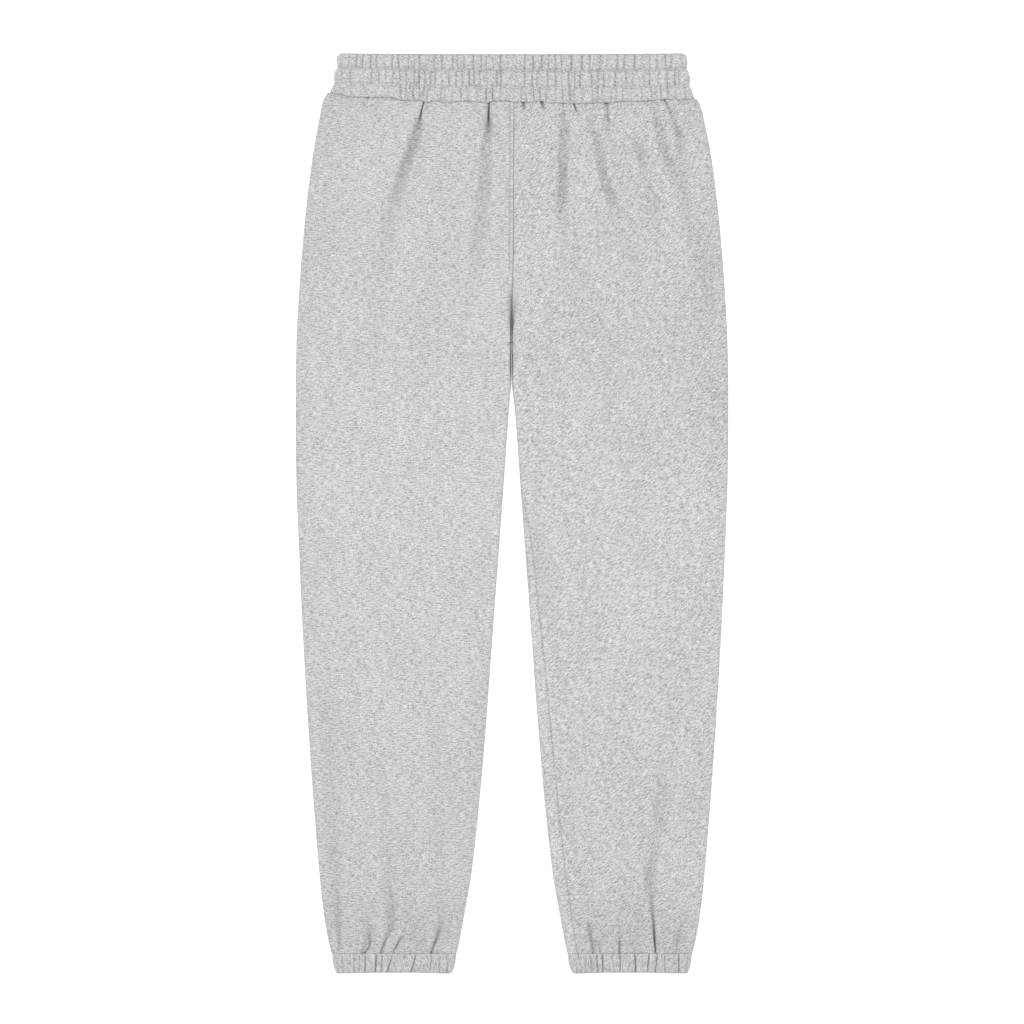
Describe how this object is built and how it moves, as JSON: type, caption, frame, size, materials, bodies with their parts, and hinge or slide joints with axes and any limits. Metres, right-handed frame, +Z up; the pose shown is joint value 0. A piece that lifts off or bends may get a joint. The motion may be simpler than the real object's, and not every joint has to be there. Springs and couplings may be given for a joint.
{
  "type": "jogger sweatpants",
  "caption": "Fleece jogger sweatpants laid flat on their back, with a shirred elastic waistband, full tapered legs and gathered elastic ankle casings.",
  "frame": {"origin": "on the surface the garment lies on, under the middle of its width and length", "axes": "+Y from the ankles to the waist, +Z up out of the front, +X towards the wearer's left leg"},
  "size_m": [0.4696, 1, 0.0098],
  "materials": {
    "heather_fleece": "matte"
  },
  "bodies": {
    "root": {"waistband": "heather_fleece", "front_left": "heather_fleece", "front_right": "heather_fleece", "back_left": "heather_fleece", "back_right": "heather_fleece", "ankle_casing_left": "heather_fleece", "ankle_casing_right": "heather_fleece"}
  },
  "joints": []
}
